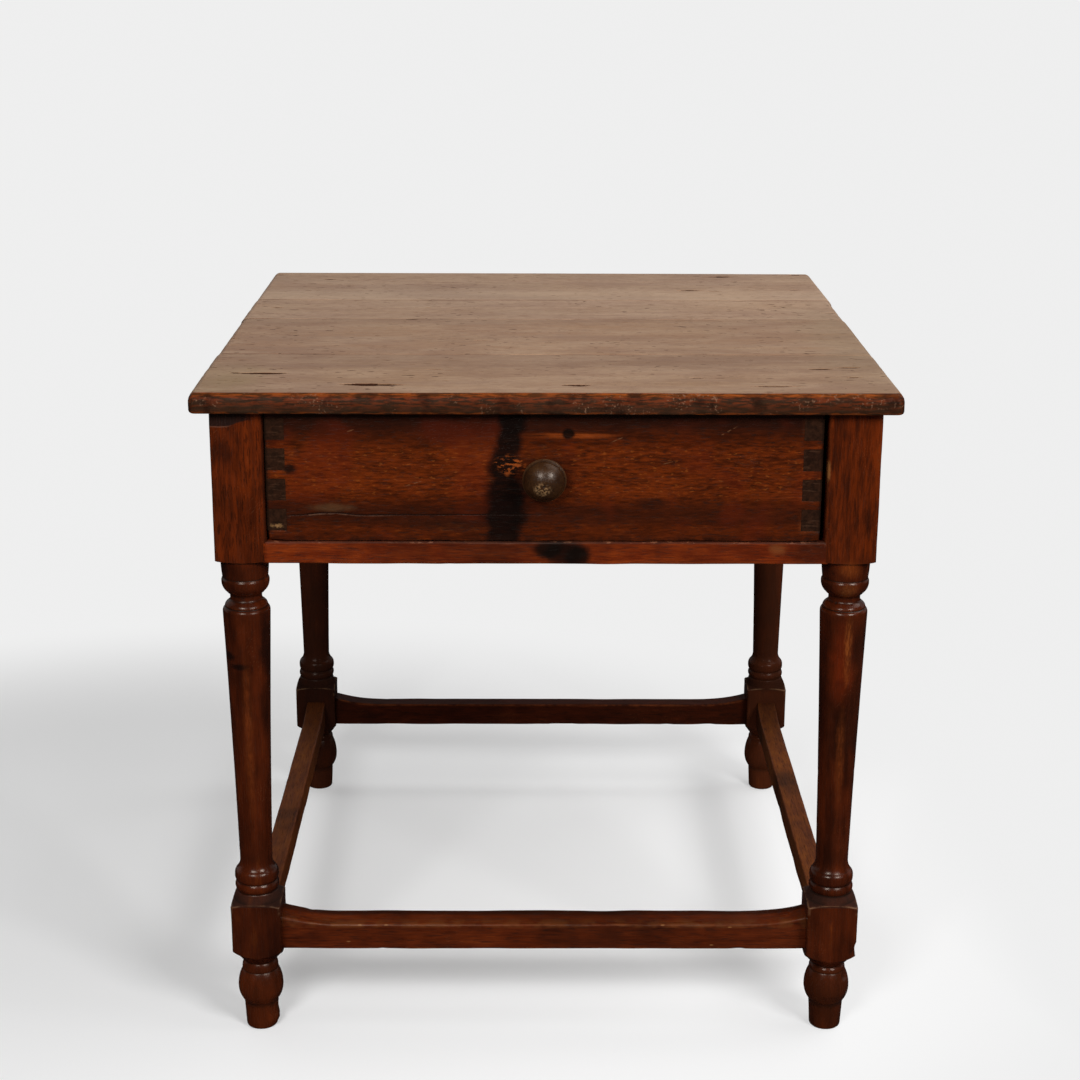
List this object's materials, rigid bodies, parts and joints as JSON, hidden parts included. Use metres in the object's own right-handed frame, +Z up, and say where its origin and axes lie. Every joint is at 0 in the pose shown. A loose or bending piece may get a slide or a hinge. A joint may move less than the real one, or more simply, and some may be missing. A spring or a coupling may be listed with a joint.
{
  "type": "tavern table",
  "caption": "Joined tavern table with a planked top, turned legs, a low box stretcher and a dovetailed front drawer that slides out on wooden runners.",
  "frame": {"origin": "on the floor, in the middle of the whole table's footprint, knob included", "axes": "+Z up, square to the table top; front with the drawer towards -Y; +X to the right of someone facing the drawer"},
  "size_m": [0.732, 0.78, 0.74],
  "materials": {
    "top_wood": "old wax, worn matte, grey-brown",
    "frame_wood": "dark red-brown, waxed satin",
    "drawer_front_wood": "red-brown, waxed satin, with dark stains",
    "inner_wood": "unfinished, aged and dusty",
    "knob_wood": "dark, handled to a polish, chipped",
    "nail_iron": "blackened forged iron"
  },
  "bodies": {
    "root": {"top_board_front": "top_wood", "top_board_mid_front": "top_wood", "top_board_mid_back": "top_wood", "top_board_back": "top_wood", "leg_front_left": "frame_wood", "leg_front_right": "frame_wood", "leg_back_left": "frame_wood", "leg_back_right": "frame_wood", "drawer_rail": "frame_wood", "side_apron_left": "frame_wood", "side_apron_right": "frame_wood", "back_apron": "frame_wood", "stretcher_front": "frame_wood", "stretcher_back": "frame_wood", "stretcher_left": "frame_wood", "stretcher_right": "frame_wood", "drawer_runner_left": "inner_wood", "drawer_runner_right": "inner_wood", "drawer_guide_left": "inner_wood", "drawer_guide_right": "inner_wood", "drawer_stop_left": "inner_wood", "drawer_stop_right": "inner_wood", "top_nails": "nail_iron", "guide_nails": "nail_iron"},
    "drawer": {"drawer_front": "drawer_front_wood", "drawer_side_left": "inner_wood", "drawer_side_right": "inner_wood", "drawer_back": "inner_wood", "drawer_bottom_front": "inner_wood", "drawer_bottom_back": "inner_wood", "drawer_bottom_nails": "nail_iron", "drawer_knob": "knob_wood"}
  },
  "joints": [
    {"name": "drawer_slide", "type": "slide", "parent": "root", "child": "drawer", "axis": [0, -1, 0], "range_m": [0, 0.45]}
  ]
}
